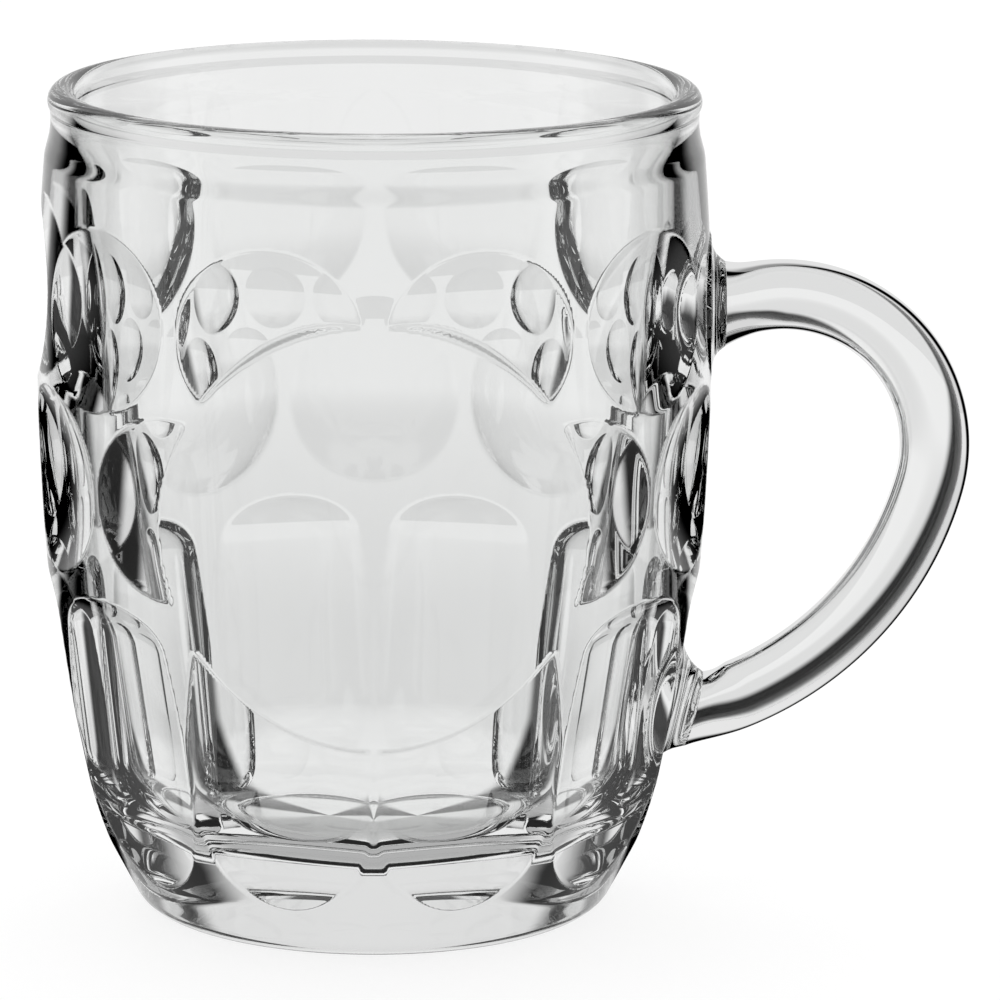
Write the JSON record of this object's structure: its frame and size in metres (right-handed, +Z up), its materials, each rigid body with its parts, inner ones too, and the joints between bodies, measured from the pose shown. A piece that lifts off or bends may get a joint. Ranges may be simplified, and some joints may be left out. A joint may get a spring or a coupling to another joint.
{
  "type": "dimpled glass beer mug",
  "caption": "Pressed clear glass mug with staggered dimples over long flutes, a smooth round panel on its front and a bent glass bar as its handle.",
  "frame": {"origin": "centre of the base on the plane that the mug stands on", "axes": "+Z up along the axis of the mug, +X out through the handle, -Y out through the round panel on the front"},
  "size_m": [0.1369, 0.0986, 0.122],
  "materials": {
    "body_glass": "clear pressed soda-lime glass, fire polished",
    "handle_glass": "clear drawn glass bar, fire polished"
  },
  "bodies": {
    "root": {"mug_body": "body_glass", "handle": "handle_glass"}
  },
  "joints": []
}
